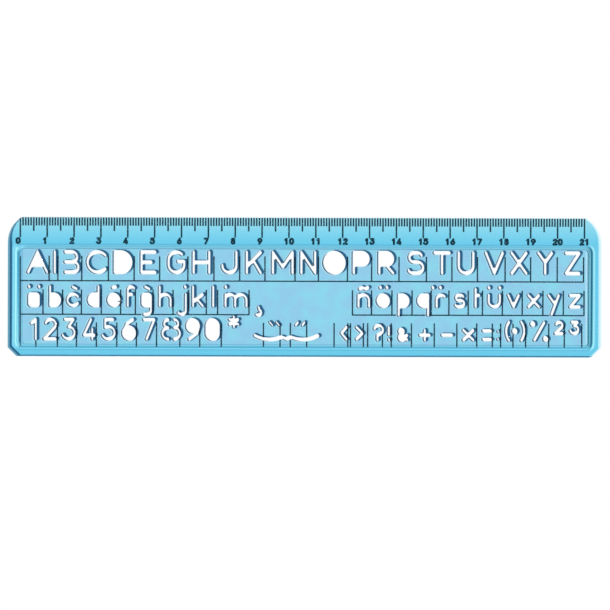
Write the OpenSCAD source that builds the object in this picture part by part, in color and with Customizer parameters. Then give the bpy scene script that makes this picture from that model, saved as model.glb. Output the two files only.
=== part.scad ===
// Lettering stencil: a moulded plastic plate with a scale along one edge,
// three rows of slots for a pen point, and a printed scale and cell lines.
// X runs along the scale, Y towards the scale edge, Z up; the plate lies on Z = 0.

/* [Scale] */
// Length of the scale in centimetres
scale_cm = 21; // [21:1:30]
// Plate beyond the zero line
start_margin = 4.5; // [3.5:0.1:8]
// Plate beyond the last line
end_margin = 5.2; // [4.5:0.1:10]
// Width of the thick band that carries the scale
band_w = 11; // [10.6:0.1:16]
// Length of the millimetre lines
mm_line = 3; // [2:0.1:3.6]
// Length of the half centimetre lines
half_line = 5; // [4:0.1:6]
// Length of the centimetre lines
cm_line = 7.4; // [6.5:0.1:7.4]
// Width of a printed line
line_w = 0.28; // [0.2:0.02:0.4]
// Distance from the scale edge to the tops of the numerals
numeral_drop = 7.6; // [7.5:0.05:7.8]
// Height of the numerals
numeral_h = 2.35; // [1.8:0.05:2.6]
// Stroke of the numerals
numeral_pen = 0.55; // [0.3:0.05:0.6]
// How far a single numeral stands before its line
numeral_back = 0.8; // [0:0.1:1.2]
// Pitch of the two figures of a numeral from 10 up
numeral_pitch = 1.95; // [1.9:0.05:2.4]

/* [Plate] */
// Thickness of the rims and of the inner edge of the band
rim_t = 2.2; // [2:0.1:3]
// Thickness of the recessed panel
panel_t = 1.5; // [1:0.05:1.7]
// Thickness of the scale edge
edge_t = 1.1; // [0.8:0.05:1.8]
// Flat land between the panel and the bevel of the band
land_w = 1.2; // [1:0.1:2.5]
// Width of the long rim below the panel
rim_w = 3.5; // [2.8:0.1:6]
// Width of the rim at the zero end
start_rim = 3.6; // [3:0.1:3.8]
// Width of the rim at the far end
end_rim = 3.2; // [2.6:0.1:3.8]
// Width of the sloped wall round the panel
slope_w = 0.8; // [0.3:0.05:0.9]
// Corner radius of the panel floor
panel_r = 1.2; // [0.6:0.1:2]
// Radius of the two corners at the scale
corner_r = 10.5; // [9.5:0.1:14]
// Height of the two corner curves
corner_rise = 9; // [6:0.1:9.4]
// Leg of the two cut corners below
cut_leg = 3.3; // [1.5:0.1:5]

/* [Rows] */
// Width of the slots of the capitals
slot_w = 1.55; // [1.2:0.05:1.7]
// Width of the slots of the small letters, digits and signs
small_w = 1.45; // [1.1:0.05:1.5]
// Width of the quote marks
quote_w = 1.2; // [0.9:0.05:1.3]
// Diameter of the dots over the small letters
dot_d = 1.7; // [1.3:0.05:1.8]
// Height of the capitals over the slot ends
cap_h = 9.1; // [8.6:0.1:9.6]
// Height of the small letters over the slot ends
small_h = 5.7; // [5.4:0.1:6]
// Height of an ascender over the base line
ascent = 8.5; // [8.2:0.1:9]
// Depth of a descender under the base line
descent = 3.2; // [3:0.1:3.6]
// Height of the digits over the slot ends
digit_h = 8.7; // [8.4:0.1:9.2]
// Panel below the digits
foot_gap = 2.1; // [1.6:0.1:4]
// Panel between the digits and the descenders
low_gap = 0.5; // [0.5:0.1:3]
// Panel between the ascenders and the capitals
high_gap = 3.9; // [3:0.1:6]
// Panel above the capitals
head_gap = 1.2; // [0.8:0.1:3]
// Height of the cell lines
cell_h = 9; // [5:0.5:9.5]
// Distance from the capitals down to their printed base line
cap_line_drop = 2.3; // [1.5:0.1:2.8]
// Distance from the small letters down to their printed base line
small_line_drop = 2.4; // [1.5:0.1:2.8]

/* [Print] */
// Depth to which the print is pressed into the underside
print_t = 0.06; // [0.04:0.01:0.12]

/* [Hidden] */
$fn = 48;
eps = 0.5;

plate_len = start_margin + 10 * scale_cm + end_margin;
row3_y = rim_w + foot_gap;
row2_y = row3_y + digit_h + low_gap + descent;
row1_y = row2_y + ascent + high_gap;
panel_top = row1_y + cap_h + head_gap;
plate_w = panel_top + band_w;
zero_x = start_margin - plate_len / 2;
hollow_h = rim_t - panel_t + eps;
cap_line_y = row1_y - cap_line_drop;
small_line_y = row2_y - small_line_drop;

// Heights of the centre lines of the slots
cap_tall = cap_h - slot_w;
small_tall = small_h - small_w;
digit_tall = digit_h - small_w;
up = ascent - small_w;

// How far the round end of an arc stands out past its slot, so that the outlines cross cleanly
end_lap = 0.005;

// Curves shared by the small letters, the digits and the signs
round_r = 1.5;
hook_r = 1.45;
digit_bowl_r = 3;
accent_reach = 0.8;

// Places along the scale of the printed cell lines, in millimetres from zero
cap_cells = [10.75, 14, 22.9, 32.8, 42.4, 51.9, 62.4, 72.1, 81.7, 91.1, 102.3, 111,
             121.8, 130.8, 141, 151.2, 160.7, 170.2, 180.5, 190, 199.9, 209.7];
small_cells_a = [8.5, 15.8, 22.8, 30.2, 37.4, 42.9, 49.5, 56.9, 62.6, 69.3, 73.5, 85.2];
small_cells_b = [123.7, 130.8, 138.4, 145.9, 153, 159.6, 166.8, 172.1, 179.5, 186.9,
                 194.6, 202.2, 209.9];
digit_cells = [5.9, 13.9, 21, 28.4, 36, 43.3, 50.8, 59.5, 66.9, 74.9];
sign_cells = [90.6, 96.8, 100.6, 106.7, 116.9, 122, 123, 127.8, 129.4, 134.9, 138.2, 145.7,
              154.2, 162.6, 170, 175.8, 178.9, 183.5, 188.2, 196.8, 202.6, 209.1];

// Colour of the print
ink = [0.03, 0.06, 0.1];

// Last entry of a list
function last(list) = list[len(list) - 1];

// One round hole
module dot(p = [0, 0], d = $pen) {
    translate(p) circle(d = d);
}

// A straight slot with round ends between two points of its centre line
module bar(a, b) {
    translate(a) rotate(atan2(b.y - a.y, b.x - a.x)) {
        translate([0, -$pen / 2]) square([norm(b - a), $pen]);
        circle(d = $pen);
        translate([norm(b - a), 0]) circle(d = $pen);
    }
}

// A run of straight slots through a list of points
module run(points) {
    for (i = [1 : len(points) - 1]) bar(points[i - 1], points[i]);
}

// A round-ended slot along an arc, anticlockwise between two angles
module bend(c, r, from, to) {
    steps = ceil((to - from) / 40);
    reach = 2 * (r + $pen);
    translate(c) {
        intersection() {
            difference() {
                circle(r = r + $pen / 2);
                if (r > $pen / 2) circle(r = r - $pen / 2);
            }
            polygon(concat([[0, 0]],
                [for (i = [0 : steps]) let (a = from + (to - from) * i / steps) reach * [cos(a), sin(a)]]));
        }
        for (a = [from, to]) dot(r * [cos(a), sin(a)], $pen + (a % 90 == 0 ? 0 : 2 * end_lap));
    }
}

// A closed round slot
module ring(c, r) {
    translate(c) difference() {
        circle(r = r + $pen / 2);
        if (r > $pen / 2) circle(r = r - $pen / 2);
    }
}

// A filled block with round corners, given by the width and height of its centre line
module pad(w, h, r) {
    e = $pen / 2;
    translate([r - e, -e]) square([w + 2 * e - 2 * r, h + 2 * e]);
    translate([-e, r - e]) square([w + 2 * e, h + 2 * e - 2 * r]);
    for (x = [r - e, w + e - r], y = [r - e, h + e - r]) translate([x, y]) circle(r = r);
}

// A filled half-round bowl of height h that grows from a stem: dir 1 to the right, -1 to the left
module bowl(c, h, dir = 1) {
    e = $pen / 2;
    r = h / 2 + e;
    mirror([dir > 0 ? 0 : 1, 0]) {
        translate([0, -e]) square([c, h + 2 * e]);
        intersection() {
            translate([c, h / 2]) circle(r = r);
            translate([0, -e]) square([c + r, h + 2 * e]);
        }
    }
}

// Moves a sign to its place along the scale
module at(x) {
    translate([x, 0]) children();
}

// Capitals: w is the width and h the height of the centre line
module cap_a(w, h, bar_y = 2.6) {
    t = bar_y / h;
    run([[0, 0], [w / 2, h], [w, 0]]);
    bar([t * w / 2, bar_y], [w - t * w / 2, bar_y]);
    polygon([[t * w / 2, bar_y], [w / 2, h], [w - t * w / 2, bar_y]]);
}
module cap_b(w, h) {
    r = h / 4;
    for (end = [[w - r - 0.5, h], [w - r, h / 2], [w - r, 0]]) bar([0, end.y], end);
    bend([w - r - 0.5, h - r], r, -90, 90);
    bend([w - r, r], r, -90, 90);
}
module cap_c(h, gap = 42) {
    bend([0, h / 2], h / 2, gap, 360 - gap);
}
module cap_d(w, h) {
    bar([0, 0], [0, h]);
    bowl(w - h / 2, h);
}
module cap_e(w, h) {
    run([[w, h], [0, h], [0, 0], [w, 0]]);
    bar([0, h / 2], [0.72 * w, h / 2]);
}
module cap_g(w, h) {
    r = w / 2;
    bend([r, h - r], r, 48, 180);
    bar([0, h - r], [0, r]);
    bend([r, r], r, 180, 360);
    run([[w, r], [w, 0.54 * h], [r + 0.6, 0.54 * h]]);
}
module cap_aitch(w, h) {
    for (x = [0, w]) bar([x, 0], [x, h]);
    bar([0, h / 2], [w, h / 2]);
}
module cap_j(w, h) {
    bar([w, h], [w, w / 2]);
    bend([w / 2, w / 2], w / 2, 180, 360);
}
module cap_k(w, h) {
    bar([0, 0], [0, h]);
    bar([0, 0.3 * h], [w, h]);
    bar([0.46 * w, 0.62 * h], [w, 0]);
}
module cap_m(w, h) {
    run([[0, 0], [0, h], [w / 2, 0.28 * h], [w, h], [w, 0]]);
}
module cap_n(w, h) {
    run([[0, 0], [0, h], [w, 0], [w, h]]);
}
module cap_p(w, h, bowl_h = 4.5) {
    bar([0, 0], [0, h]);
    translate([0, h - bowl_h]) bowl(w - bowl_h / 2, bowl_h);
}
module cap_r(w, h) {
    cap_p(w, h);
    bar([0.5 * w, 0.4 * h], [w, 0]);
}
// Capital and small s share this form
module ess(w, h) {
    r1 = 0.23 * h;
    r2 = 0.27 * h;
    rt = 0.19 * h;
    bend([r1 + 0.06 * w, h - r1], r1, 90, 270);
    bar([r1 + 0.06 * w, h], [w - rt - 0.1 * w, h]);
    bend([w - rt - 0.1 * w, h - rt], rt, 20, 90);
    bar([r1 + 0.06 * w, h - 2 * r1], [w - r2, 2 * r2]);
    bend([w - r2, r2], r2, -90, 90);
    bar([w - r2, 0], [rt, 0]);
    bend([rt, rt], rt, 200, 270);
}
module cap_t(w, h) {
    bar([0, h], [w, h]);
    bar([w / 2, h], [w / 2, 0]);
}
// Capital and small u share this form
module cup(w, h) {
    for (x = [0, w]) bar([x, w / 2], [x, h]);
    bend([w / 2, w / 2], w / 2, 180, 360);
}
module vee(w, h) {
    run([[0, h], [w / 2, 0], [w, h]]);
}
module cross(w, h) {
    bar([0, 0], [w, h]);
    bar([0, h], [w, 0]);
}
module cap_y(w, h) {
    run([[0, h], [w / 2, 0.54 * h], [w, h]]);
    bar([w / 2, 0.54 * h], [w / 2, 0]);
}
module zed(w, h) {
    run([[0, h], [w, h], [0, 0], [w, 0]]);
}

// The slots of the capitals
module capitals($pen = slot_w, h = cap_tall) {
    at(2.6) cap_a(7, h);
    at(12.5) bar([0, 0], [0, h]);
    at(16.4) cap_b(4.9, h);
    at(28.5) cap_c(h);
    at(34.8) cap_d(6.2, h);
    at(44.8) cap_e(5.1, h);
    at(54.9) cap_g(5.8, h);
    at(64.2) cap_aitch(5.8, h);
    at(74.9) cap_j(5.2, h);
    at(84) cap_k(5.1, h);
    at(93.7) cap_m(7.3, h);
    at(104.3) cap_n(5.1, h);
    at(116.6) translate([0, h / 2]) circle(d = cap_h);
    at(123.8) cap_p(5.5, h);
    at(133.3) cap_r(5.1, h);
    at(144.2) ess(5.4, h);
    at(153.9) cap_t(5.5, h);
    at(162.9) cup(5.4, h);
    at(173) vee(6.2, h);
    at(182.6) cross(5.4, h);
    at(192.6) cap_y(4.9, h);
    at(202.8) zed(4.9, h);
}

// Arch of a small letter, from a stem at x = 0 to a leg at x = w
module arch(w, h) {
    bend([w / 2, h - w / 2], w / 2, 0, 180);
    bar([w, h - w / 2], [w, 0]);
}
module dots(places) {
    for (x = places) dot([x, up], dot_d);
}
// The slots of the small letters from a to m, with their accents
module small_letters_a($pen = small_w, h = small_tall) {
    at(2.9) {
        pad(3.7, h, round_r);
        dots([0.1, 3.8]);
    }
    at(10.8) {
        bar([0, 0], [0, up]);
        bowl(1.6, h);
    }
    at(19.4) {
        bend([0, h / 2], h / 2, 36, 324);
        bar([-0.2, up - 0.1], [1.2, up - accent_reach]);
    }
    at(28.8) {
        bar([0, 0], [0, up]);
        bowl(1.6, h, -1);
    }
    at(34.5) {
        difference() {
            translate([0, h / 2]) circle(d = small_h);
            polygon([[1.5, 1.7], [small_h, 2.4], [small_h, 1]]);
        }
        bar([-0.5, up - 0.35], [0.8, up]);
    }
    at(39.7) {
        bar([0, 0], [0, up - 1.3]);
        bend([1.3, up - 1.3], 1.3, 40, 180);
        bar([0, h], [1.6, h]);
    }
    at(45.1) {
        pad(3.2, h, round_r);
        bar([3.2, h / 2], [3.2, hook_r - descent]);
        bend([3.2 - hook_r, hook_r - descent], hook_r, 250, 360);
        bar([3.2 - hook_r, -descent], [0.7, -descent]);
        bar([1.1, up], [2.6, up - accent_reach]);
    }
    at(51.6) {
        bar([0, 0], [0, up]);
        arch(4.05, h);
    }
    at(61.3) {
        bar([0, h], [0, round_r - descent]);
        bend([-round_r, round_r - descent], round_r, 215, 360);
        dots([-0.2]);
    }
    at(64) {
        bar([0, 0], [0, up]);
        bar([0, 0.35 * h], [3.6, h]);
        bar([1.4, 0.6 * h], [3.6, 0]);
    }
    at(71.5) bar([0, 0], [0, up]);
    at(76.1) {
        bar([0, 0], [0, h]);
        arch(3.6, h);
        at(3.6) arch(4.2, h);
        dots([0.1]);
    }
    at(88.3) {
        bar([0.15, -0.5], [0.5, -1.5]);
        bend([0, -2.4], 1.05, 230, 420);
    }
}
// The slots of the small letters from n to z, with their accents
module small_letters_b($pen = small_w, h = small_tall) {
    at(125.6) {
        bar([0, 0], [0, h]);
        arch(3.9, h);
        run([[0.4, up - 0.6], [1.4, up], [2.6, up - 0.6], [3.6, up]]);
    }
    at(134.8) {
        translate([0, h / 2]) circle(d = small_h);
        dots([-1, 1.4]);
    }
    at(140.6) {
        bar([0, -descent], [0, h]);
        bowl(1.5, h);
    }
    at(151.5) {
        bar([0, -descent], [0, h]);
        bowl(1.6, h, -1);
    }
    at(154.7) {
        bar([0, 0], [0, h - 1.7]);
        bend([1.7, h - 1.7], 1.7, 45, 180);
        dots([-1.4, 1.4]);
    }
    at(161.7) ess(3.2, h);
    at(169.2) {
        bar([0, 0], [0, up - 0.6]);
        bar([0, h], [1.3, h]);
    }
    at(174.1) {
        cup(4.1, h);
        dots([0.1, 4.1]);
    }
    at(181.4) vee(3.8, h);
    at(188.9) cross(3.8, h);
    at(196.4) {
        bar([3.7, h], [1.1, 0.4 - descent]);
        bar([0, h], [2.3, 1]);
    }
    at(204.4) zed(3.5, h);
}

// Digits: w is the width and h the height of the centre line
module digit_1(h) {
    run([[-0.23 * h, 0.8 * h], [0, h], [0, 0]]);
}
module digit_2(w, h) {
    r = 0.44 * w;
    bend([w - r, h - r], r, -35, 165);
    run([[w - r, h - r] + r * [cos(35), -sin(35)], [0, 0], [w, 0]]);
}
module digit_3(w, h) {
    r = 0.56 * w;
    run([[0.1 * w, h], [0.9 * w, h], [w - r, 2 * r]]);
    bend([w - r, r], r, 200, 450);
}
module digit_4(w, h) {
    run([[0.68 * w, h], [0, 0.2 * h], [w, 0.2 * h]]);
    bar([0.8 * w, 0.5 * h], [0.8 * w, 0]);
}
module digit_5(w, h) {
    r = 0.59 * w;
    stem = [w - r, r] + r * [cos(120), sin(120)];
    run([[0.86 * w, h], [stem.x, h], stem]);
    bend([w - r, r], r, 204, 480);
}
module digit_7(w, h) {
    run([[0, h], [w, h], [0.27 * w, 0]]);
}
// The slots of the digits
module digits($pen = small_w, h = digit_tall) {
    e = small_w / 2;
    at(5.5) digit_1(h);
    at(8.6) digit_2(4.3, h);
    at(15.9) digit_3(4, h);
    at(23.4) digit_4(3.9, h);
    at(30.9) digit_5(3.9, h);
    at(40.2) {
        translate([0, digit_bowl_r - e]) circle(r = digit_bowl_r);
        run([[1.5, h], [-0.9, 0.77 * h], [-2.2, 2.6]]);
    }
    at(45.7) digit_7(3.9, h);
    at(55.9) for (m = [0, 1]) mirror([m, 0]) {
        bend([1.1, h - round_r], round_r, -90, 90);
        bend([1.1, h / 2 - round_r], h / 2 - round_r, -90, 90);
    }
    at(64) {
        translate([0, h + e - digit_bowl_r]) circle(r = digit_bowl_r);
        run([[2.2, h - 2.6], [1.6, 0.32 * h], [-1.4, 0]]);
    }
    at(69) pad(4.6, h, digit_bowl_r);
    at(79.2) translate([0, 6.5]) for (a = [30, 90, 150]) rotate(a) bar([-1.83, 0], [1.83, 0]);
}
// The quote marks and the brace between the digits and the signs
module middle_signs() {
    for (q = [[92.6, 1], [95.1, 0.9], [103.1, -0.9], [105.5, -0.8]])
        at(q[0]) bar([0, 6.4], [q[1], 5.3], $pen = quote_w);
    at(98.8) for (m = [0, 1]) mirror([m, 0]) {
        bend([6.2, 11.5], 11.5, 247, 299, $pen = slot_w);
        bar([1.7, 0.9], [0, 0.2], $pen = slot_w);
    }
}
// The slots of the signs
module signs($pen = small_w) {
    at(119.3) run([[1.8, 4.6], [0, 2.4], [1.8, 0.2]]);
    at(124.9) run([[0, 4.6], [2.2, 2.4], [0, 0.2]]);
    at(133.1) {
        bend([0, 3.7], 1.6, -50, 165);
        run([[0, 3.7] + 1.6 * [cos(50), -sin(50)], [-0.4, 1.6], [-0.4, 0]]);
    }
    at(136.9) {
        bar([0, 4.6], [0, 2]);
        dot([0.1, 0]);
    }
    at(141.6) {
        dot([0, 3.1], 3.1);
        dot([0.1, 0.8], 3.5);
        bar([0.2, 2.2], [2.1, 0]);
        bar([0.8, 0.5], [2.1, 1.7]);
    }
    at(150.3) for (a = [0, 90]) translate([0, 1.75]) rotate(a) bar([-1.75, 0], [1.75, 0]);
    at(156.8) bar([0, 1.8], [3.6, 1.8]);
    at(164.7) cross(3.6, 3.6);
    at(172.1) for (y = [0.2, 3.4]) bar([0, y], [2.8, y]);
    at(177.6) for (y = [0.3, 3.2]) dot([0, y], 1.3);
    at(180.6) bend([6.1, 3.3], 6.1, 146, 214);
    at(183.8) dot([0, 3.3], 2.6);
    at(187.3) bend([-6.1, 3.3], 6.1, -34, 34);
    at(190.5) {
        dot([0, 6], 2.5);
        dot([4.8, 0.4], 2.6);
        bar([0.6, 0], [4.2, 6.5]);
    }
    at(198.9) translate([0, 2.5]) digit_2(2.6, 4.2);
    at(204.8) translate([0, 2.5]) digit_3(2.6, 4.2);
}

// All slots in the plan of the plate
module openings() {
    translate([zero_x, row1_y + slot_w / 2]) capitals();
    translate([zero_x, row2_y + small_w / 2]) {
        small_letters_a();
        small_letters_b();
    }
    translate([zero_x, row3_y + small_w / 2]) {
        digits();
        middle_signs();
        signs();
    }
}

// Outline of the plate: curved corners at the scale, cut corners below
module outline() {
    half = plate_len / 2;
    arc_y = plate_w - corner_rise;
    intersection() {
        translate([-half, 0]) square([plate_len, plate_w]);
        union() {
            polygon([
                [-half + cut_leg, 0], [half - cut_leg, 0], [half, cut_leg], [half, arc_y],
                [half - corner_r, plate_w], [corner_r - half, plate_w], [-half, arc_y], [-half, cut_leg]
            ]);
            for (x = [corner_r - half, half - corner_r]) translate([x, arc_y]) circle(r = corner_r);
        }
    }
}

// Section of the hollow over the panel, from one floor edge to the other
module hollow_section(a, b) {
    spread = slope_w * hollow_h / (rim_t - panel_t);
    polygon([[a, 0], [b, 0], [b + spread, hollow_h], [a - spread, hollow_h]]);
}

// Hollow over the panel: walls that slope outwards, joined by a cone in each corner
module panel_hollow() {
    x0 = start_rim + slope_w - plate_len / 2;
    x1 = plate_len / 2 - end_rim - slope_w;
    y0 = rim_w + slope_w;
    y1 = panel_top - slope_w;
    corner_top = panel_r + slope_w * hollow_h / (rim_t - panel_t);
    translate([0, 0, panel_t]) {
        translate([x0 + panel_r, 0, 0]) rotate([90, 0, 90])
            linear_extrude(x1 - x0 - 2 * panel_r) hollow_section(y0, y1);
        translate([0, y1 - panel_r, 0]) rotate([90, 0, 0])
            linear_extrude(y1 - y0 - 2 * panel_r) hollow_section(x0, x1);
        for (x = [x0 + panel_r, x1 - panel_r], y = [y0 + panel_r, y1 - panel_r])
            translate([x, y, 0]) cylinder(h = hollow_h, r1 = panel_r, r2 = corner_top);
    }
}

// Body of the plate before the slots are cut: flat below, bevelled towards the scale edge
module body() {
    intersection() {
        linear_extrude(rim_t) outline();
        rotate([90, 0, 90]) translate([0, 0, -plate_len / 2]) linear_extrude(plate_len)
            polygon([[0, 0], [plate_w, 0], [plate_w, edge_t], [panel_top + land_w, rim_t], [0, rim_t]]);
    }
}

// One printed line of the scale, i millimetres from zero
module scale_line(i, length) {
    translate([zero_x + i - line_w / 2, plate_w - length]) square([line_w, length]);
}
module mm_marks() {
    for (i = [0 : 10 * scale_cm]) if (i % 5 != 0) scale_line(i, mm_line);
}
module half_marks() {
    for (i = [5 : 10 : 10 * scale_cm]) scale_line(i, half_line);
}
module cm_marks() {
    for (i = [0 : 10 : 10 * scale_cm]) scale_line(i, cm_line);
}

// One printed numeral, centred on x = 0
module numeral(n) {
    h = numeral_h - numeral_pen;
    w = 0.62 * h;
    $pen = numeral_pen;
    translate([-w / 2, 0]) {
        if (n == 0) {
            bend([w / 2, w / 2], w / 2, 180, 360);
            bend([w / 2, h - w / 2], w / 2, 0, 180);
            for (x = [0, w]) bar([x, w / 2], [x, h - w / 2]);
        }
        if (n == 1) translate([0.55 * w, 0]) digit_1(h);
        if (n == 2) digit_2(w, h);
        if (n == 3) digit_3(w, h);
        if (n == 4) digit_4(w, h);
        if (n == 5) digit_5(w, h);
        if (n == 6) {
            ring([w / 2, w / 2], w / 2);
            bar([0, 0.6 * w], [0.7 * w, h]);
        }
        if (n == 7) digit_7(w, h);
        if (n == 8) {
            ring([w / 2, 0.28 * h], 0.28 * h);
            ring([w / 2, 0.78 * h], 0.22 * h);
        }
        if (n == 9) {
            ring([w / 2, h - w / 2], w / 2);
            bar([w, h - 0.6 * w], [0.3 * w, 0]);
        }
    }
}
module numerals() {
    foot_y = plate_w - numeral_drop - numeral_h + numeral_pen / 2;
    for (i = [0 : scale_cm]) translate([zero_x + 10 * i, foot_y]) {
        if (i < 10) {
            translate([-numeral_back, 0]) numeral(i);
        } else {
            translate([-numeral_pitch / 2, 0]) numeral(floor(i / 10));
            translate([numeral_pitch / 2, 0]) numeral(i % 10);
        }
    }
}

// Printed base lines of the two upper rows and the upright at the zero end
module base_lines() {
    x = zero_x;
    translate([x, cap_line_y - line_w / 2]) square([last(cap_cells), line_w]);
    translate([x, small_line_y - line_w / 2]) square([last(small_cells_a), line_w]);
    translate([x + small_cells_b[0], small_line_y - line_w / 2])
        square([last(small_cells_b) - small_cells_b[0], line_w]);
    translate([x - line_w / 2, rim_w]) square([line_w, cap_line_y + cell_h - rim_w]);
}
// Printed uprights between the cells of one row
module uprights(places, y, height) {
    for (x = places) translate([zero_x + x - line_w / 2, y]) square([line_w, height]);
}
module cell_marks() {
    uprights(cap_cells, cap_line_y + line_w / 2, cell_h);
    uprights(concat(small_cells_a, small_cells_b), small_line_y + line_w / 2, cell_h);
    uprights(concat(digit_cells, sign_cells), rim_w, cell_h);
}

// Puts the middle of the plate on the origin
module centred() {
    translate([0, -plate_w / 2, 0]) children();
}

// A layer of print, pressed flush into the underside and left out over the slots
module print_layer() {
    color(ink) centred() linear_extrude(print_t) difference() {
        intersection() {
            children();
            outline();
        }
        openings();
    }
}

module stencil_plate() {
    color([0.42, 0.78, 0.91, 0.8]) centred() difference() {
        body();
        panel_hollow();
        translate([0, 0, -eps]) linear_extrude(rim_t + 2 * eps) openings();
        translate([0, 0, -eps]) linear_extrude(print_t + eps) {
            mm_marks();
            half_marks();
            cm_marks();
            numerals();
            base_lines();
            cell_marks();
        }
    }
}
module millimetre_lines() {
    print_layer() mm_marks();
}
module half_centimetre_lines() {
    print_layer() half_marks();
}
module centimetre_lines() {
    print_layer() cm_marks();
}
module scale_numerals() {
    print_layer() numerals();
}
module row_lines() {
    print_layer() base_lines();
}
module cell_lines() {
    print_layer() cell_marks();
}

stencil_plate();
millimetre_lines();
half_centimetre_lines();
centimetre_lines();
scale_numerals();
row_lines();
cell_lines();
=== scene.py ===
"""Looks of a clear blue lettering stencil that lies on white paper.

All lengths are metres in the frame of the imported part: X runs along the scale, Y towards
the scale edge and Z up, and the plate lies on Z = 0.
"""

from __future__ import annotations

import logging
import math
from dataclasses import dataclass
from enum import Enum

import bpy
import numpy as np
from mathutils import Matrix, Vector


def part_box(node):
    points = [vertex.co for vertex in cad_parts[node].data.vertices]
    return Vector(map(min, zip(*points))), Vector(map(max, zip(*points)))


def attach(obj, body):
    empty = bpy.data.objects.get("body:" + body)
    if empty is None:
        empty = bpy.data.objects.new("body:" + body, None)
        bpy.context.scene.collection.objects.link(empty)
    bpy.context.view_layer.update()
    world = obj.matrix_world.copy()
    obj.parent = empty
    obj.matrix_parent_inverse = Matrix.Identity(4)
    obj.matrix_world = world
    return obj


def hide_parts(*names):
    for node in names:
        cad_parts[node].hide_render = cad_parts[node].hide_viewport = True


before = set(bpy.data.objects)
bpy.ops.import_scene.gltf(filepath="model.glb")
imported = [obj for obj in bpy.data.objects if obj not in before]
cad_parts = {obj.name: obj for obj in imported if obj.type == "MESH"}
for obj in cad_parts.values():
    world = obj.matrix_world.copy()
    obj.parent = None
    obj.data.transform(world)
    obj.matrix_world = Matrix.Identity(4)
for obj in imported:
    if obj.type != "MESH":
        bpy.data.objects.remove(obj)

log = logging.getLogger("lettering_stencil")

MM = 0.001

# The least area and length that a division is held to
TINY_AREA = 1e-20
TINY_LENGTH = 1e-9

# Linear red, green and blue; a range or a place in X and Y; and the colours along a distance
Colour = tuple[float, float, float]
Pair = tuple[float, float]
Stops = tuple[tuple[float, Colour], ...]


class Node(Enum):
    """The CAD nodes of the stencil, by what they are."""

    PLATE = "stencil_plate"
    MILLIMETRES = "millimetre_lines"
    HALVES = "half_centimetre_lines"
    CENTIMETRES = "centimetre_lines"
    NUMERALS = "scale_numerals"
    ROWS = "row_lines"
    CELLS = "cell_lines"


class Slot(Enum):
    """The material slots of the record."""

    PLASTIC = "plastic"
    PRINT = "print"


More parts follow.
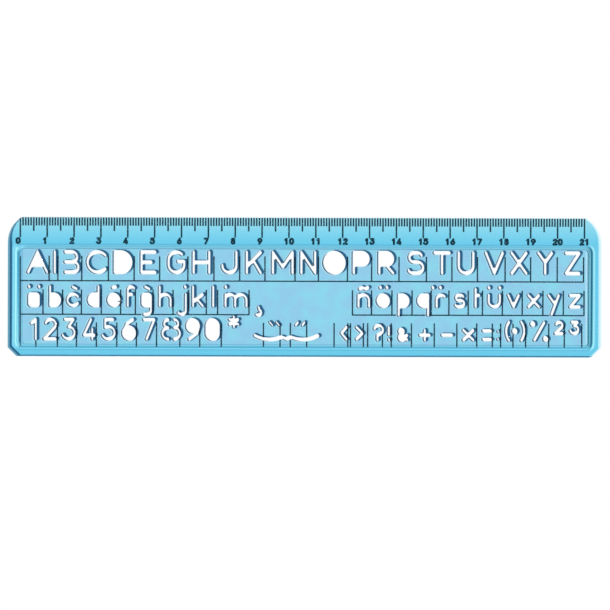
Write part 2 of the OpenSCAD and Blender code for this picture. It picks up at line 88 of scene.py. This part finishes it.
class Graph:
    """A node tree that is filled node by node."""

    def __init__(self, tree: bpy.types.NodeTree) -> None:
        """Empties the tree.

        Args:
            tree: the node tree of a material or of the world.
        """
        self.tree = tree
        tree.nodes.clear()

    def add(self, kind: str, settings: dict | None = None, inputs: dict | None = None) -> bpy.types.Node:
        """Adds a node.

        Args:
            kind: Blender's name for the kind of node.
            settings: the node's own properties.
            inputs: a socket to link from, or a constant, for each named or numbered input.

        Returns:
            The new node.
        """
        node = self.tree.nodes.new(kind)
        for name, value in (settings or {}).items():
            setattr(node, name, value)
        for key, value in (inputs or {}).items():
            if isinstance(value, bpy.types.NodeSocket):
                self.tree.links.new(value, node.inputs[key])
            else:
                node.inputs[key].default_value = value
        return node

    def math(self, operation: str, *values: bpy.types.NodeSocket | float) -> bpy.types.NodeSocket:
        """Adds a Math node.

        Args:
            operation: the name of the operation.
            values: sockets or numbers, one for each input.

        Returns:
            The result's socket.
        """
        node = self.add("ShaderNodeMath", {"operation": operation}, dict(enumerate(values)))
        return node.outputs[0]

    def remap(self, value: bpy.types.NodeSocket, low: float, high: float,
              to_low: float = 0.0, to_high: float = 1.0) -> bpy.types.NodeSocket:
        """Adds a smooth step from one range to another.

        Args:
            value: the socket to remap.
            low: where the step starts.
            high: where the step ends.
            to_low: the result at and below the start.
            to_high: the result at and above the end.

        Returns:
            The result's socket.
        """
        node = self.add("ShaderNodeMapRange", {"interpolation_type": "SMOOTHSTEP"}, {
            "Value": value, "From Min": low, "From Max": high, "To Min": to_low, "To Max": to_high})
        return node.outputs["Result"]

    def seen_directly(self) -> bpy.types.NodeSocket:
        """Adds a switch that is 1 for what the eye, a reflection or clear plastic shows."""
        path = self.add("ShaderNodeLightPath").outputs
        mirrored = self.math("MAXIMUM", path["Is Glossy Ray"], path["Is Transmission Ray"])
        return self.math("MAXIMUM", path["Is Camera Ray"], mirrored)

    def noise(self, grain: float, detail: float = 3.0) -> bpy.types.NodeSocket:
        """Adds a noise pattern fixed to the object.

        Args:
            grain: the size of one patch.
            detail: how many finer layers it has.

        Returns:
            The pattern's socket, from 0 to 1.
        """
        place = self.add("ShaderNodeTexCoord").outputs["Object"]
        node = self.add("ShaderNodeTexNoise", inputs={
            "Vector": place, "Scale": 1.0 / grain, "Detail": detail})
        return node.outputs["Fac"]

    def blend(self, share: bpy.types.NodeSocket, first: bpy.types.NodeSocket | Colour,
              second: bpy.types.NodeSocket | Colour) -> bpy.types.NodeSocket:
        """Adds a mix of two colours.

        Args:
            share: the share of the second colour.
            first: the first colour, as a socket or as linear red, green and blue.
            second: the second colour, in the same way.

        Returns:
            The mixed colour's socket.
        """
        first, second = (c if isinstance(c, bpy.types.NodeSocket) else (*c, 1) for c in (first, second))
        node = self.add("ShaderNodeMix", {"data_type": "RGBA"}, {0: share, 6: first, 7: second})
        return node.outputs[2]

    def scale(self, colour: bpy.types.NodeSocket, by: bpy.types.NodeSocket | Colour) -> bpy.types.NodeSocket:
        """Multiplies two colours.

        Args:
            colour: the first colour.
            by: the second colour, as a socket or as linear red, green and blue.

        Returns:
            The product's socket.
        """
        node = self.add("ShaderNodeVectorMath", {"operation": "MULTIPLY"}, {0: colour, 1: by})
        return node.outputs["Vector"]

    def strip(self, place: bpy.types.NodeSocket, low: float, high: float,
              stops: Stops) -> bpy.types.NodeSocket:
        """Adds a strip of colours along a distance.

        Args:
            place: the distance.
            low: the distance at the strip's start.
            high: the distance at its end.
            stops: pairs of a distance and the linear colour there.

        Returns:
            The colour's socket.
        """
        share = self.add("ShaderNodeMapRange", inputs={"Value": place, "From Min": low, "From Max": high})
        node = self.add("ShaderNodeValToRGB", inputs={0: share.outputs["Result"]})
        ramp = node.color_ramp.elements
        ramp.remove(ramp[1])
        ramp[0].position = 0.0
        ramp[0].color = (*stops[0][1], 1)
        for distance, colour in stops:
            ramp.new((distance - low) / (high - low)).color = (*colour, 1)
        return node.outputs["Color"]


@dataclass(frozen=True)
class KeyLight:
    """The main light.

    Its light travels level by the lean for each metre that it falls, at the bearing's turn from X.
    """

    lean: float = 0.7
    bearing: float = math.radians(18)
    strength: float = 3.72
    softness: float = math.radians(8)

    def level(self) -> Vector:
        """The level direction in which its light travels."""
        return Vector((math.cos(self.bearing), math.sin(self.bearing), 0))

    def travel(self) -> Vector:
        """The direction in which its light travels, downwards."""
        return (self.level() * self.lean - Vector((0, 0, 1))).normalized()


# Colours of the painted light and dark lines beside the panel's wall; with a gain of 3, EVEN changes nothing
DARK = (0.02, 0.1, 0.12)
DIM = (0.08, 0.17, 0.2)
DULL = (0.21, 0.23, 0.25)
EVEN = (1 / 3, 1 / 3, 1 / 3)
CLEAR = (0.6, 0.42, 0.38)
BRIGHT = (1.0, 0.54, 0.42)


@dataclass(frozen=True)
class PaintedWallLines:
    """Painted light and dark lines on the paper beside the sloped wall round the panel.

    They are painted by place into the colour of the light that passes the plate's underside, and stand in
    for the slope bending the light that passes through it, so that the paper beside its foot and its top
    gets less than its share, or more. A line's place is its distance outwards from the panel's floor,
    whose lowest and highest corners are low and high. Each side has its own painted lines, whose colours
    times the gain are the shares. At a corner of the panel one side's lines go over into the next
    side's, within the turn on either side of it.
    """

    low: Pair = (-105.45 * MM, -21.55 * MM)
    high: Pair = (105.85 * MM, 14.05 * MM)
    corner: float = 1.2 * MM
    inner: float = -1.2 * MM
    outer: float = 3.6 * MM
    gain: float = 3.0
    turn: float = 1.5 * MM
    zero_end: Stops = ((-0.3 * MM, EVEN), (0.2 * MM, DIM), (0.9 * MM, DIM), (1.15 * MM, EVEN),
                       (1.35 * MM, BRIGHT), (1.75 * MM, BRIGHT), (2.0 * MM, EVEN), (2.5 * MM, CLEAR),
                       (3.1 * MM, EVEN))
    far_end: Stops = ((-0.9 * MM, EVEN), (-0.4 * MM, CLEAR), (0.1 * MM, EVEN), (0.5 * MM, DARK),
                      (0.9 * MM, DARK), (1.0 * MM, EVEN), (1.15 * MM, CLEAR), (1.3 * MM, DARK),
                      (1.75 * MM, DARK), (1.95 * MM, EVEN), (2.3 * MM, BRIGHT), (3.0 * MM, EVEN))
    foot: Stops = ((0.6 * MM, EVEN), (0.85 * MM, DULL), (1.1 * MM, DULL), (1.25 * MM, EVEN),
                   (1.5 * MM, CLEAR), (1.7 * MM, EVEN), (1.85 * MM, DULL), (2.1 * MM, EVEN))
    head: Stops = ((0.4 * MM, EVEN), (0.7 * MM, DULL), (0.9 * MM, EVEN), (1.1 * MM, CLEAR),
                   (1.4 * MM, EVEN), (1.7 * MM, DULL), (2.0 * MM, EVEN))

    def distance(self, graph: Graph) -> tuple[bpy.types.NodeSocket, list, list]:
        """Adds the distance outwards from the panel's rounded floor.

        With q the distances outwards past the middles of the rounded corners, it is
        |max(q, 0)| + min(max(qx, qy), 0) - corner.

        Args:
            graph: the graph of the material.

        Returns:
            The sockets of the distance, of qx and qy, and of which side of the middle the place is on.
        """
        place = graph.add("ShaderNodeSeparateXYZ", inputs={
            0: graph.add("ShaderNodeTexCoord").outputs["Object"]}).outputs
        past = []
        side = []
        for axis in range(2):
            middle = (self.low[axis] + self.high[axis]) / 2
            half = (self.high[axis] - self.low[axis]) / 2 - self.corner
            offset = graph.math("SUBTRACT", place[axis], middle)
            side.append(graph.math("GREATER_THAN", offset, 0.0))
            past.append(graph.math("SUBTRACT", graph.math("ABSOLUTE", offset), half))
        beyond = [graph.math("MAXIMUM", q, 0.0) for q in past]
        round_corner = graph.math("SQRT", graph.math("ADD", *(graph.math("POWER", q, 2.0) for q in beyond)))
        within = graph.math("MINIMUM", graph.math("MAXIMUM", *past), 0.0)
        distance = graph.math("SUBTRACT", graph.math("ADD", round_corner, within), self.corner)
        return distance, past, side

    def light(self, graph: Graph) -> bpy.types.NodeSocket:
        """Adds the painted light and shade at each place of the underside.

        Args:
            graph: the graph of the material.

        Returns:
            The share's socket, a colour that is 1 where no light or shade is painted.
        """
        distance, past, side = self.distance(graph)
        zero_end, far_end, foot, head = (
            graph.strip(distance, self.inner, self.outer, stops)
            for stops in (self.zero_end, self.far_end, self.foot, self.head))
        at_end = graph.remap(graph.math("SUBTRACT", *past), -self.turn, self.turn)
        lines = graph.blend(at_end, graph.blend(side[1], foot, head), graph.blend(side[0], zero_end, far_end))
        return graph.scale(lines, (self.gain, self.gain, self.gain))


@dataclass(frozen=True)
class ClearPlastic:
    """Clear blue moulded plastic with an even tint all through, whose shadow rays carry painted shade and
    light onto the paper below.
    """

    key: KeyLight
    # painted light and dark lines of the panel's wall, on the underside
    wall: PaintedWallLines = PaintedWallLines()
    tint: Colour = (0.14, 0.787, 0.945)
    density: float = 420.0
    plain: Colour = (0.93, 1.0, 1.0)
    lilac: Colour = (1.0, 0.865, 0.95)
    cyan: Colour = (0.93, 0.98, 0.97)
    cloud_grain: float = 5 * MM
    cloud_span: Pair = (0.35, 0.7)
    ior: float = 1.49
    smooth: float = 0.02
    scuffed: float = 0.09
    scuff_grain: float = 1.6 * MM
    scuff_detail: float = 6.0
    scuff_span: Pair = (0.4, 0.75)
    ripple_grain: float = 9 * MM
    ripple_depth: float = 0.02 * MM
    # painted shade: the colour of the light let through where a dark shadow band is painted on the paper
    painted_band_tint: Colour = (0.0, 0.11, 0.22)
    steep: float = 0.4
    level: float = 0.97
    facing_span: Pair = (0.15, 0.6)
    # heights of the painted shadow line in a slot, and the foot of the plate's edge whose painted shade is
    # lighter
    line_low: float = 0.35 * MM
    line_high: float = 1.15 * MM
    clear_foot: float = 1.0 * MM
    foot_light: float = 0.4

    def material(self) -> bpy.types.Material:
        """Makes the material.

        The light that reaches the paper through the plastic carries painted shade: each wall that faces
        the key light gets the painted band tint, a painted dark blue shadow band on the paper under the
        plastic, which stands in for light that enters by an upright wall and can't leave by the flat
        underside. Of a wall that faces away, only the middle of its height paints a shadow line, on the
        paper in the slot.

        Returns:
            The new material.
        """
        material = bpy.data.materials.new("clear_blue_plastic")
        material.use_nodes = True
        graph = Graph(material.node_tree)
        beyond = graph.math("GREATER_THAN", self.wall.distance(graph)[0], 0.0)
        clouded = graph.remap(graph.noise(self.cloud_grain), *self.cloud_span)
        cloud = graph.blend(clouded, self.lilac, self.cyan)
        scuff = graph.remap(graph.noise(self.scuff_grain, self.scuff_detail), *self.scuff_span,
                            self.smooth, self.scuffed)
        ripple = graph.add("ShaderNodeBump", inputs={
            "Height": graph.noise(self.ripple_grain), "Distance": self.ripple_depth})
        body = graph.add("ShaderNodeBsdfPrincipled", inputs={
            "Base Color": graph.blend(beyond, cloud, self.plain),
            "Roughness": scuff,
            "IOR": self.ior,
            "Transmission Weight": 1.0,
            "Normal": ripple.outputs["Normal"]})
        geometry = graph.add("ShaderNodeNewGeometry").outputs
        tilt = graph.add("ShaderNodeSeparateXYZ", inputs={0: geometry["True Normal"]}).outputs["Z"]
        met_below = graph.math("MULTIPLY", graph.math("LESS_THAN", tilt, -self.level),
                               graph.math("SUBTRACT", 1.0, geometry["Backfacing"]))
        # painted shade: dark bands and lines on the paper, in the painted band tint
        painted_wall_shadow = graph.blend(self.shade(graph, beyond), (1, 1, 1), self.painted_band_tint)
        # painted light and shade of the panel's wall, where shadow rays enter the underside
        painted_slope_lines = graph.blend(met_below, (1, 1, 1), self.wall.light(graph))
        passing = graph.add("ShaderNodeBsdfTransparent", inputs={"Color": graph.scale(painted_wall_shadow, painted_slope_lines)})
        path = graph.add("ShaderNodeLightPath").outputs
        surface = graph.add("ShaderNodeMixShader", inputs={
            0: graph.math("MAXIMUM", path["Is Shadow Ray"], path["Is Diffuse Ray"]),
            1: body.outputs[0],
            2: passing.outputs[0]})
        absorbed = graph.add("ShaderNodeVolumeAbsorption", inputs={
            "Color": (*self.tint, 1), "Density": self.density})
        graph.add("ShaderNodeOutputMaterial", inputs={
            "Surface": surface.outputs[0], "Volume": absorbed.outputs[0]})
        return material

    def shade(self, graph: Graph, beyond: bpy.types.NodeSocket) -> bpy.types.NodeSocket:
        """Adds the share of painted shade in the light through a face, painted as dark bands and lines on the
        paper below.

        Shadow rays run from the paper to the light, so the light enters by the faces that they meet
        from inside and leaves by the others. Upright walls where it enters, and a window of heights on
        walls where it leaves, are painted as shade. The foot of the plate's own edge lets some through,
        as a lighter painted shade.

        Args:
            graph: the material's graph.
            beyond: 1 outside the panel, where the only upright wall is the plate's edge.

        Returns:
            The share's socket, 1 where only the painted band tint is let through.
        """
        geometry = graph.add("ShaderNodeNewGeometry").outputs
        normal = geometry["True Normal"]
        inside = geometry["Backfacing"]
        tilt = graph.add("ShaderNodeSeparateXYZ", inputs={0: normal}).outputs["Z"]
        wall = graph.remap(graph.math("ABSOLUTE", tilt), self.level, self.steep)
        along = graph.add("ShaderNodeVectorMath", {"operation": "DOT_PRODUCT"}, {
            0: normal, 1: self.key.level()})
        facing = graph.remap(along.outputs["Value"], *self.facing_span)
        place = graph.add("ShaderNodeTexCoord").outputs["Object"]
        height = graph.add("ShaderNodeSeparateXYZ", inputs={0: place}).outputs["Z"]
        line = graph.math("MULTIPLY", graph.math("GREATER_THAN", height, self.line_low),
                          graph.math("LESS_THAN", height, self.line_high))
        clear = graph.math("MULTIPLY", beyond, graph.math("LESS_THAN", height, self.clear_foot))
        kept = graph.math("SUBTRACT", 1.0, graph.math("MULTIPLY", clear, self.foot_light))
        entering = graph.math("MULTIPLY", inside, graph.math("MULTIPLY", wall, kept))
        slot_line = graph.math("MULTIPLY", line, graph.math("SUBTRACT", 1.0, beyond))
        leaving = graph.math("MULTIPLY", graph.math("SUBTRACT", 1.0, inside),
                             graph.math("MULTIPLY", facing, slot_line))
        return graph.math("MAXIMUM", entering, leaving)


@dataclass(frozen=True)
class PrintedInk:
    """Dark ink printed on the underside."""

    deep: Colour = (0.002, 0.008, 0.014)
    worn: Colour = (0.006, 0.03, 0.042)
    worn_span: Pair = (0.35, 0.75)
    grain: float = 0.7 * MM
    dull: float = 0.7
    shiny: float = 0.45
    dull_span: Pair = (0.3, 0.7)
    depth: float = 0.01 * MM

    def material(self) -> bpy.types.Material:
        """Makes the material.

        Returns:
            The new material.
        """
        material = bpy.data.materials.new("printed_ink")
        material.use_nodes = True
        graph = Graph(material.node_tree)
        grain = graph.noise(self.grain)
        bump = graph.add("ShaderNodeBump", inputs={"Height": grain, "Distance": self.depth})
        body = graph.add("ShaderNodeBsdfPrincipled", inputs={
            "Base Color": graph.blend(graph.remap(grain, *self.worn_span), self.deep, self.worn),
            "Roughness": graph.remap(grain, *self.dull_span, self.shiny, self.dull),
            "Normal": bump.outputs["Normal"]})
        graph.add("ShaderNodeOutputMaterial", inputs={"Surface": body.outputs[0]})
        return material


@dataclass
class Shell:
    """A closed surface: points and triangles, one row each.

    A wall is a face whose normal rises or falls by less than upright. No point moves further along
    a mitre than longest_mitre times the move of its walls.
    """

    points: np.ndarray
    triangles: np.ndarray
    upright: float = 0.15
    longest_mitre: float = 1.6

    @classmethod
    def of_node(cls, node: Node, same_point: float = 0.0005 * MM) -> Shell:
        """Copies a CAD node's mesh and joins its loose triangles.

        Args:
            node: the node whose mesh is read.
            same_point: the distance within which two points are one.

        Returns:
            The copy.
        """
        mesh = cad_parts[node.value].data
        mesh.calc_loop_triangles()
        points = np.empty(3 * len(mesh.vertices), np.float32)
        mesh.vertices.foreach_get("co", points)
        points = points.reshape(-1, 3).astype(float)
        triangles = np.empty(3 * len(mesh.loop_triangles), np.int32)
        mesh.loop_triangles.foreach_get("vertices", triangles)
        cells = np.round(points / same_point).astype(np.int64)
        _, first, merged_to = np.unique(cells, axis=0, return_index=True, return_inverse=True)
        triangles = merged_to.reshape(-1)[triangles.reshape(-1, 3)]
        whole = (triangles != np.roll(triangles, 1, axis=1)).all(axis=1)
        return cls(points[first], triangles[whole])

    def normals(self) -> np.ndarray:
        """Each triangle's outward unit normal."""
        a, b, c = (self.points[self.triangles[:, k]] for k in range(3))
        across = np.cross(b - a, c - a)
        return across / np.maximum(np.linalg.norm(across, axis=1, keepdims=True), TINY_AREA)

    def walls(self, normals: np.ndarray) -> np.ndarray:
        """Which triangles are part of an upright wall."""
        return np.abs(normals[:, 2]) < self.upright

    def tops(self, normals: np.ndarray) -> np.ndarray:
        """Which triangles face up."""
        return normals[:, 2] >= self.upright

    def rims(self, normals: np.ndarray) -> tuple[np.ndarray, ...]:
        """Finds the edges between an upright wall and a face above it.

        Args:
            normals: each triangle's outward normal.

        Returns:
            The first and last point of each edge as its wall runs round it, the wall's triangle
            and the triangle above.
        """
        wall = self.walls(normals)
        above = self.tops(normals)
        count = len(self.points)
        start = self.triangles.ravel()
        end = np.roll(self.triangles, -1, axis=1).ravel()
        owner = np.repeat(np.arange(len(self.triangles)), 3)
        key = start * count + end
        order = np.argsort(key)
        place = np.searchsorted(key[order], end * count + start)
        twin = order[np.minimum(place, len(order) - 1)]
        found = key[twin] == end * count + start
        rim = found & wall[owner] & above[owner[twin]]
        return start[rim], end[rim], owner[rim], owner[twin][rim]

    def mitre(self, normals: np.ndarray, start: np.ndarray, end: np.ndarray, face: np.ndarray) -> np.ndarray:
        """Works out how each rim point moves when its walls move out by one.

        The two walls at a point have outward normals a and b, and the mitre along both is
        2 (a + b) / |a + b| squared, which is held to the longest mitre.

        Args:
            normals: each triangle's outward normal.
            start: the first point of each rim edge.
            end: the last point of each rim edge.
            face: the wall of each rim edge.

        Returns:
            The level move of each point, with nought away from the rims.
        """
        both = np.zeros((len(self.points), 2))
        for at in (start, end):
            np.add.at(both, at, normals[face, :2])
        mitre = 2 * both / np.maximum((both ** 2).sum(axis=1, keepdims=True), TINY_LENGTH)
        reach = np.maximum(np.linalg.norm(mitre, axis=1, keepdims=True), TINY_LENGTH)
        return mitre * np.minimum(1, self.longest_mitre / reach)

    def piece(self, name: str, material: bpy.types.Material) -> bpy.types.Object:
        """Makes the surface a Blender object, without the points that no triangle uses.

        Args:
            name: the object's name.
            material: the material for all of it.

        Returns:
            The new object.
        """
        kept, renumbered = np.unique(self.triangles, return_inverse=True)
        mesh = bpy.data.meshes.new(name)
        mesh.from_pydata(self.points[kept].tolist(), [], renumbered.reshape(-1, 3).tolist())
        mesh.materials.append(material)
        piece = bpy.data.objects.new(name, mesh)
        bpy.context.scene.collection.objects.link(piece)
        return piece


def stand_for(piece: bpy.types.Object, node: Node) -> None:
    """Puts a piece in the place of a CAD node.

    Args:
        piece: the new piece.
        node: the node that it stands for.
    """
    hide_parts(node.value)
    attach(piece, "root")
    log.info("%s: %d triangles", piece.name, len(piece.data.polygons))


@dataclass
class StencilPlate:
    """The moulded plate with its bevelled band, rims, panel and slots, and a soft lip on each upper edge."""

    finish: ClearPlastic
    lip: float = 0.15 * MM
    lip_steps: int = 3
    crease: float = math.radians(40)

    def build(self) -> None:
        """Makes the plate with its lips, which stands for the CAD plate."""
        shell = self.with_lips(Shell.of_node(Node.PLATE))
        plate = shell.piece("clear_plate", self.finish.material())
        plate.data.shade_smooth()
        plate.data.set_sharp_from_angle(angle=self.crease)
        plate.modifiers.new("even_normals", "WEIGHTED_NORMAL").keep_sharp = True
        stand_for(plate, Node.PLATE)

    def with_lips(self, shell: Shell) -> Shell:
        """Rounds every edge between an upright wall and a face above it.

        A quarter round is carried along each such edge. At turn t, from 0 on the face above to a
        quarter turn on the wall, its point lies lip * (1 - sin t) in from the wall's plane and
        lip * (1 - cos t) under the face above. The rise keeps a moved point in the plane above it.

        Args:
            shell: the surface without lips.

        Returns:
            The surface with the lips.
        """
        points, triangles, normals = shell.points, shell.triangles, shell.normals()
        start, end, face, over = shell.rims(normals)
        inward = -self.lip * shell.mitre(normals, start, end, face)
        plane = np.zeros((len(points), 3))
        for at in (start, end):
            np.add.at(plane, at, normals[over])
        rise = -(plane[:, :2] * inward).sum(axis=1) / np.maximum(plane[:, 2], TINY_LENGTH)

        rim = np.unique(np.concatenate([start, end]))
        turn = np.linspace(0, math.pi / 2, self.lip_steps + 1)[:, None, None]
        shift = (1 - np.sin(turn)) * np.concatenate([inward[rim], rise[rim, None]], axis=1)
        drop = (1 - np.cos(turn)) * np.array([0, 0, self.lip])
        rings = (points[rim] + shift - drop).reshape(-1, 3)

        wall = shell.walls(normals)
        above = shell.tops(normals)
        ring_number = np.full(len(points), -1)
        ring_number[rim] = np.arange(len(rim))
        top_of = np.arange(len(points))
        top_of[rim] = len(points) + ring_number[rim]
        foot_of = np.arange(len(points))
        foot_of[rim] = len(points) + self.lip_steps * len(rim) + ring_number[rim]
        moved = triangles.copy()
        moved[above] = top_of[triangles[above]]
        moved[wall] = foot_of[triangles[wall]]

        first = len(points) + ring_number[start]
        last = len(points) + ring_number[end]
        strips = [moved]
        for step in range(self.lip_steps):
            upper, lower = step * len(rim), (step + 1) * len(rim)
            strips.append(np.stack([last + lower, first + lower, first + upper], axis=1))
            strips.append(np.stack([last + lower, first + upper, last + upper], axis=1))
        return Shell(np.concatenate([points, rings]), np.concatenate(strips))


@dataclass
class Print:
    """The scale, its numerals and the lines round the letters as printed, widened past their outline as a
    painted stand-in for the shadow and doubled image of each line.
    """

    finish: PrintedInk
    # how far each kind of mark is widened, a painted stand-in for its shadow and doubled image
    scale_widening: float = 0.13 * MM
    numeral_widening: float = 0.12 * MM
    cell_widening: float = 0.09 * MM
    soak: float = 0.01 * MM

    def build(self) -> None:
        """Makes each kind of mark, which stands for its CAD node."""
        ink = self.finish.material()
        widenings = {
            Node.MILLIMETRES: self.scale_widening,
            Node.HALVES: self.scale_widening,
            Node.CENTIMETRES: self.scale_widening,
            Node.NUMERALS: self.numeral_widening,
            Node.ROWS: self.cell_widening,
            Node.CELLS: self.cell_widening,
        }
        for node, widening in widenings.items():
            marks = self.widened(Shell.of_node(node), widening)
            stand_for(marks.piece("inked_" + node.value, ink), node)

    def widened(self, marks: Shell, widening: float) -> Shell:
        """Widens the face of each mark that lies against the plastic, as painted shade.

        That face moves out by the widening along the mitre of its walls, and up by the soak. The
        face underneath keeps the outline of the recess that it fills.

        Args:
            marks: the marks as they are in the CAD model.
            widening: how far the marks reach past their outline, as painted shade.

        Returns:
            The widened marks.
        """
        normals = marks.normals()
        start, end, face, _ = marks.rims(normals)
        points = marks.points.copy()
        # painted shade: the face against the plastic moves outwards past the mark's outline
        points[:, :2] += widening * marks.mitre(normals, start, end, face)
        points[np.unique(marks.triangles[marks.tops(normals)]), 2] += self.soak
        low, high = (np.array(corner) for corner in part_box(Node.PLATE.value))
        return Shell(np.clip(points, low, high), marks.triangles)


@dataclass
class Studio:
    """White paper, one soft key light, even fill and a camera straight above."""

    key: KeyLight
    paper_side: float = 4.0
    paper_drop: float = 0.05 * MM
    paper: Colour = (0.95, 0.95, 0.95)
    paper_glow: float = 0.02
    fill: float = 0.08
    wall_glow: float = 0.9
    ceiling_low: float = 0.45
    ceiling_high: float = 0.85
    view_width: float = 227.15 * MM
    view_aim: Pair = (0.73 * MM, -6.55 * MM)
    view_turn: float = math.radians(0.16)
    lens: float = 300.0
    sensor: float = 36.0
    clip: Pair = (0.1, 10.0)

    def build(self) -> None:
        """Makes the floor, the lights and the camera."""
        self.floor()
        self.lights()
        self.camera()
        log.info("studio: floor, key light, fill and camera")

    def floor(self) -> None:
        """Lays the paper: a level square whose point (u, v) is (u - 1/2, v - 1/2) times its side."""
        u, v = np.meshgrid((0.0, 1.0), (0.0, 1.0))
        x, y = ((t.ravel() - 0.5) * self.paper_side for t in (u, v))
        points = np.stack([x, y, np.full(4, -self.paper_drop)], axis=1)
        mesh = bpy.data.meshes.new("paper")
        mesh.from_pydata(points.tolist(), [], [(0, 1, 3, 2)])
        paper = bpy.data.objects.new("paper", mesh)
        bpy.context.scene.collection.objects.link(paper)
        mesh.materials.append(self.paper_material())

    def paper_material(self) -> bpy.types.Material:
        """Makes white paper that keeps its shadows, and shows a touch brighter to the eye.

        Returns:
            The new material.
        """
        material = bpy.data.materials.new("white_paper")
        material.use_nodes = True
        graph = Graph(material.node_tree)
        glow = graph.add("ShaderNodeEmission", inputs={
            "Color": (1, 1, 1, 1),
            "Strength": graph.math("MULTIPLY", graph.seen_directly(), self.paper_glow)})
        sheet = graph.add("ShaderNodeBsdfDiffuse", inputs={"Color": (*self.paper, 1)})
        both = graph.add("ShaderNodeAddShader", inputs={0: sheet.outputs[0], 1: glow.outputs[0]})
        graph.add("ShaderNodeOutputMaterial", inputs={"Surface": both.outputs[0]})
        return material

    def lights(self) -> None:
        """Sets the key light and the even fill of the world.

        The eye, gloss and clear plastic also see pale studio walls, under a dark ceiling.
        """
        lamp = bpy.data.lights.new("key_light", "SUN")
        lamp.energy = self.key.strength
        lamp.angle = self.key.softness
        lamp.cycles.use_multiple_importance_sampling = False
        light = bpy.data.objects.new("key_light", lamp)
        light.rotation_euler = self.key.travel().to_track_quat("-Z", "Y").to_euler()
        bpy.context.scene.collection.objects.link(light)
        world = bpy.data.worlds.new("fill")
        world.use_nodes = True
        graph = Graph(world.node_tree)
        direction = graph.add("ShaderNodeTexCoord").outputs["Generated"]
        height = graph.add("ShaderNodeSeparateXYZ", inputs={0: direction}).outputs["Z"]
        wall = graph.remap(height, self.ceiling_high, self.ceiling_low, self.fill, self.wall_glow)
        seen = graph.seen_directly()
        strength = graph.math("ADD", graph.math("MULTIPLY", seen, wall),
                              graph.math("MULTIPLY", graph.math("SUBTRACT", 1.0, seen), self.fill))
        sky = graph.add("ShaderNodeBackground", inputs={"Color": (1, 1, 1, 1), "Strength": strength})
        graph.add("ShaderNodeOutputWorld", inputs={"Surface": sky.outputs[0]})
        bpy.context.scene.world = world

    def camera(self) -> None:
        """Places the camera straight above the point it looks at, turned a little, as in the photo."""
        data = bpy.data.cameras.new("camera")
        data.lens = self.lens
        data.sensor_width = self.sensor
        distance = self.view_width * self.lens / self.sensor
        data.clip_start = self.clip[0] * distance
        data.clip_end = self.clip[1] * distance
        camera = bpy.data.objects.new("camera", data)
        camera.location = (*self.view_aim, distance)
        camera.rotation_euler = (0, 0, self.view_turn)
        bpy.context.scene.collection.objects.link(camera)
        bpy.context.scene.camera = camera


def main() -> None:
    """Builds the plate and its print, then the studio."""
    logging.basicConfig(level=logging.INFO, format="%(name)s: %(message)s")
    bpy.context.scene.view_settings.view_transform = "Standard"
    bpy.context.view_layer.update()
    key = KeyLight()
    StencilPlate(ClearPlastic(key)).build()
    Print(PrintedInk()).build()
    Studio(key).build()


if __name__ == "__main__":
    main()
